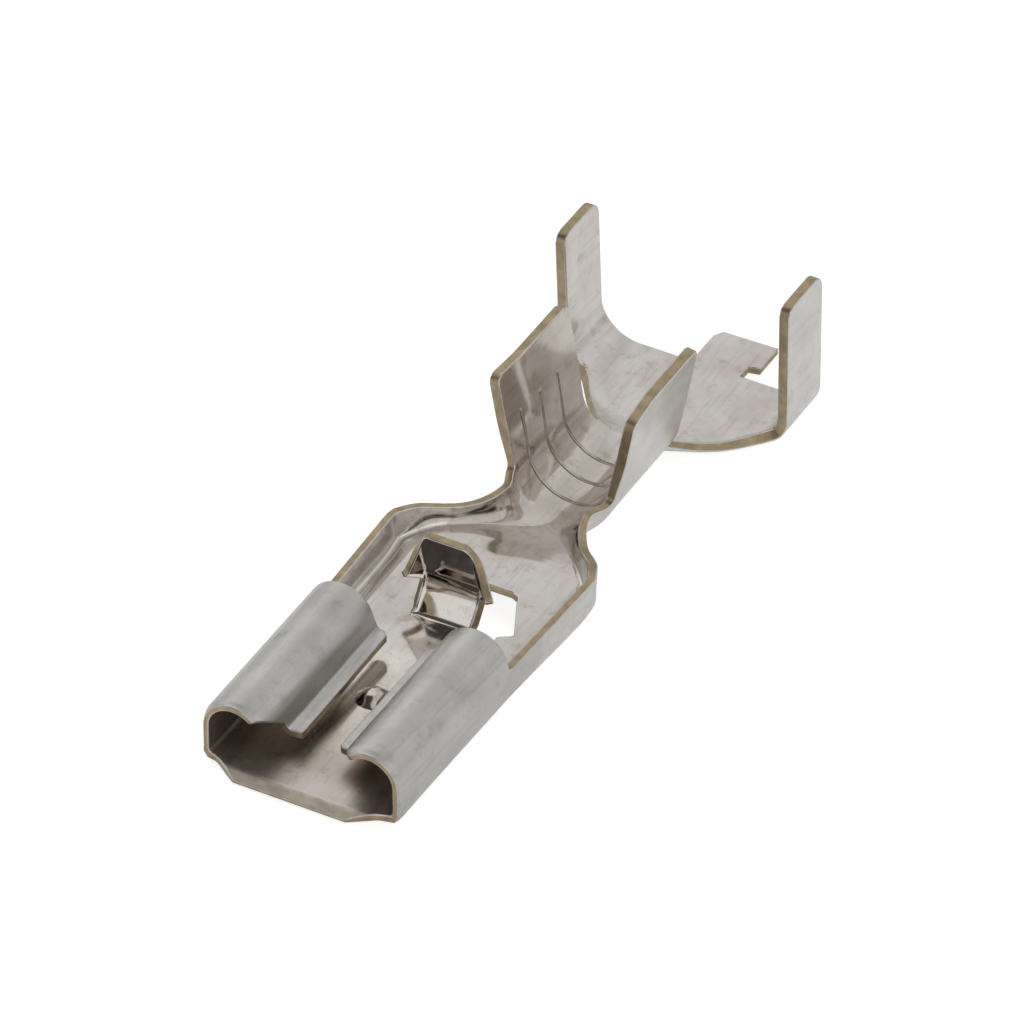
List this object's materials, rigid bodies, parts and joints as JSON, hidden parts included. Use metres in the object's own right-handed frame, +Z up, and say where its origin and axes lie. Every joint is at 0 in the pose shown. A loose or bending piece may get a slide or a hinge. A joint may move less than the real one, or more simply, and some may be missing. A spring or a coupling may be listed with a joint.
{
  "type": "female spade terminal",
  "caption": "Stamped and folded crimp terminal with a rolled receptacle for a flat blade, a raised locking tang, and open barrels for the wire and its insulation.",
  "frame": {"origin": "middle of the part's footprint, at the level of the surface it rests on", "axes": "+X across the terminal, +Y from the mouth towards the wire, +Z up out of the open side; the strip lies as it rests, on the mouth's two lower corners and the underside of the wire barrel, so the receptacle floor slopes up to the wire by about 4 degrees"},
  "size_m": [0.009, 0.0306, 0.006],
  "materials": {
    "tinned_brass": "bright tin plating over brass, satin from handling, with bare brass along the cut edges"
  },
  "bodies": {
    "root": {"terminal": "tinned_brass"}
  },
  "joints": []
}
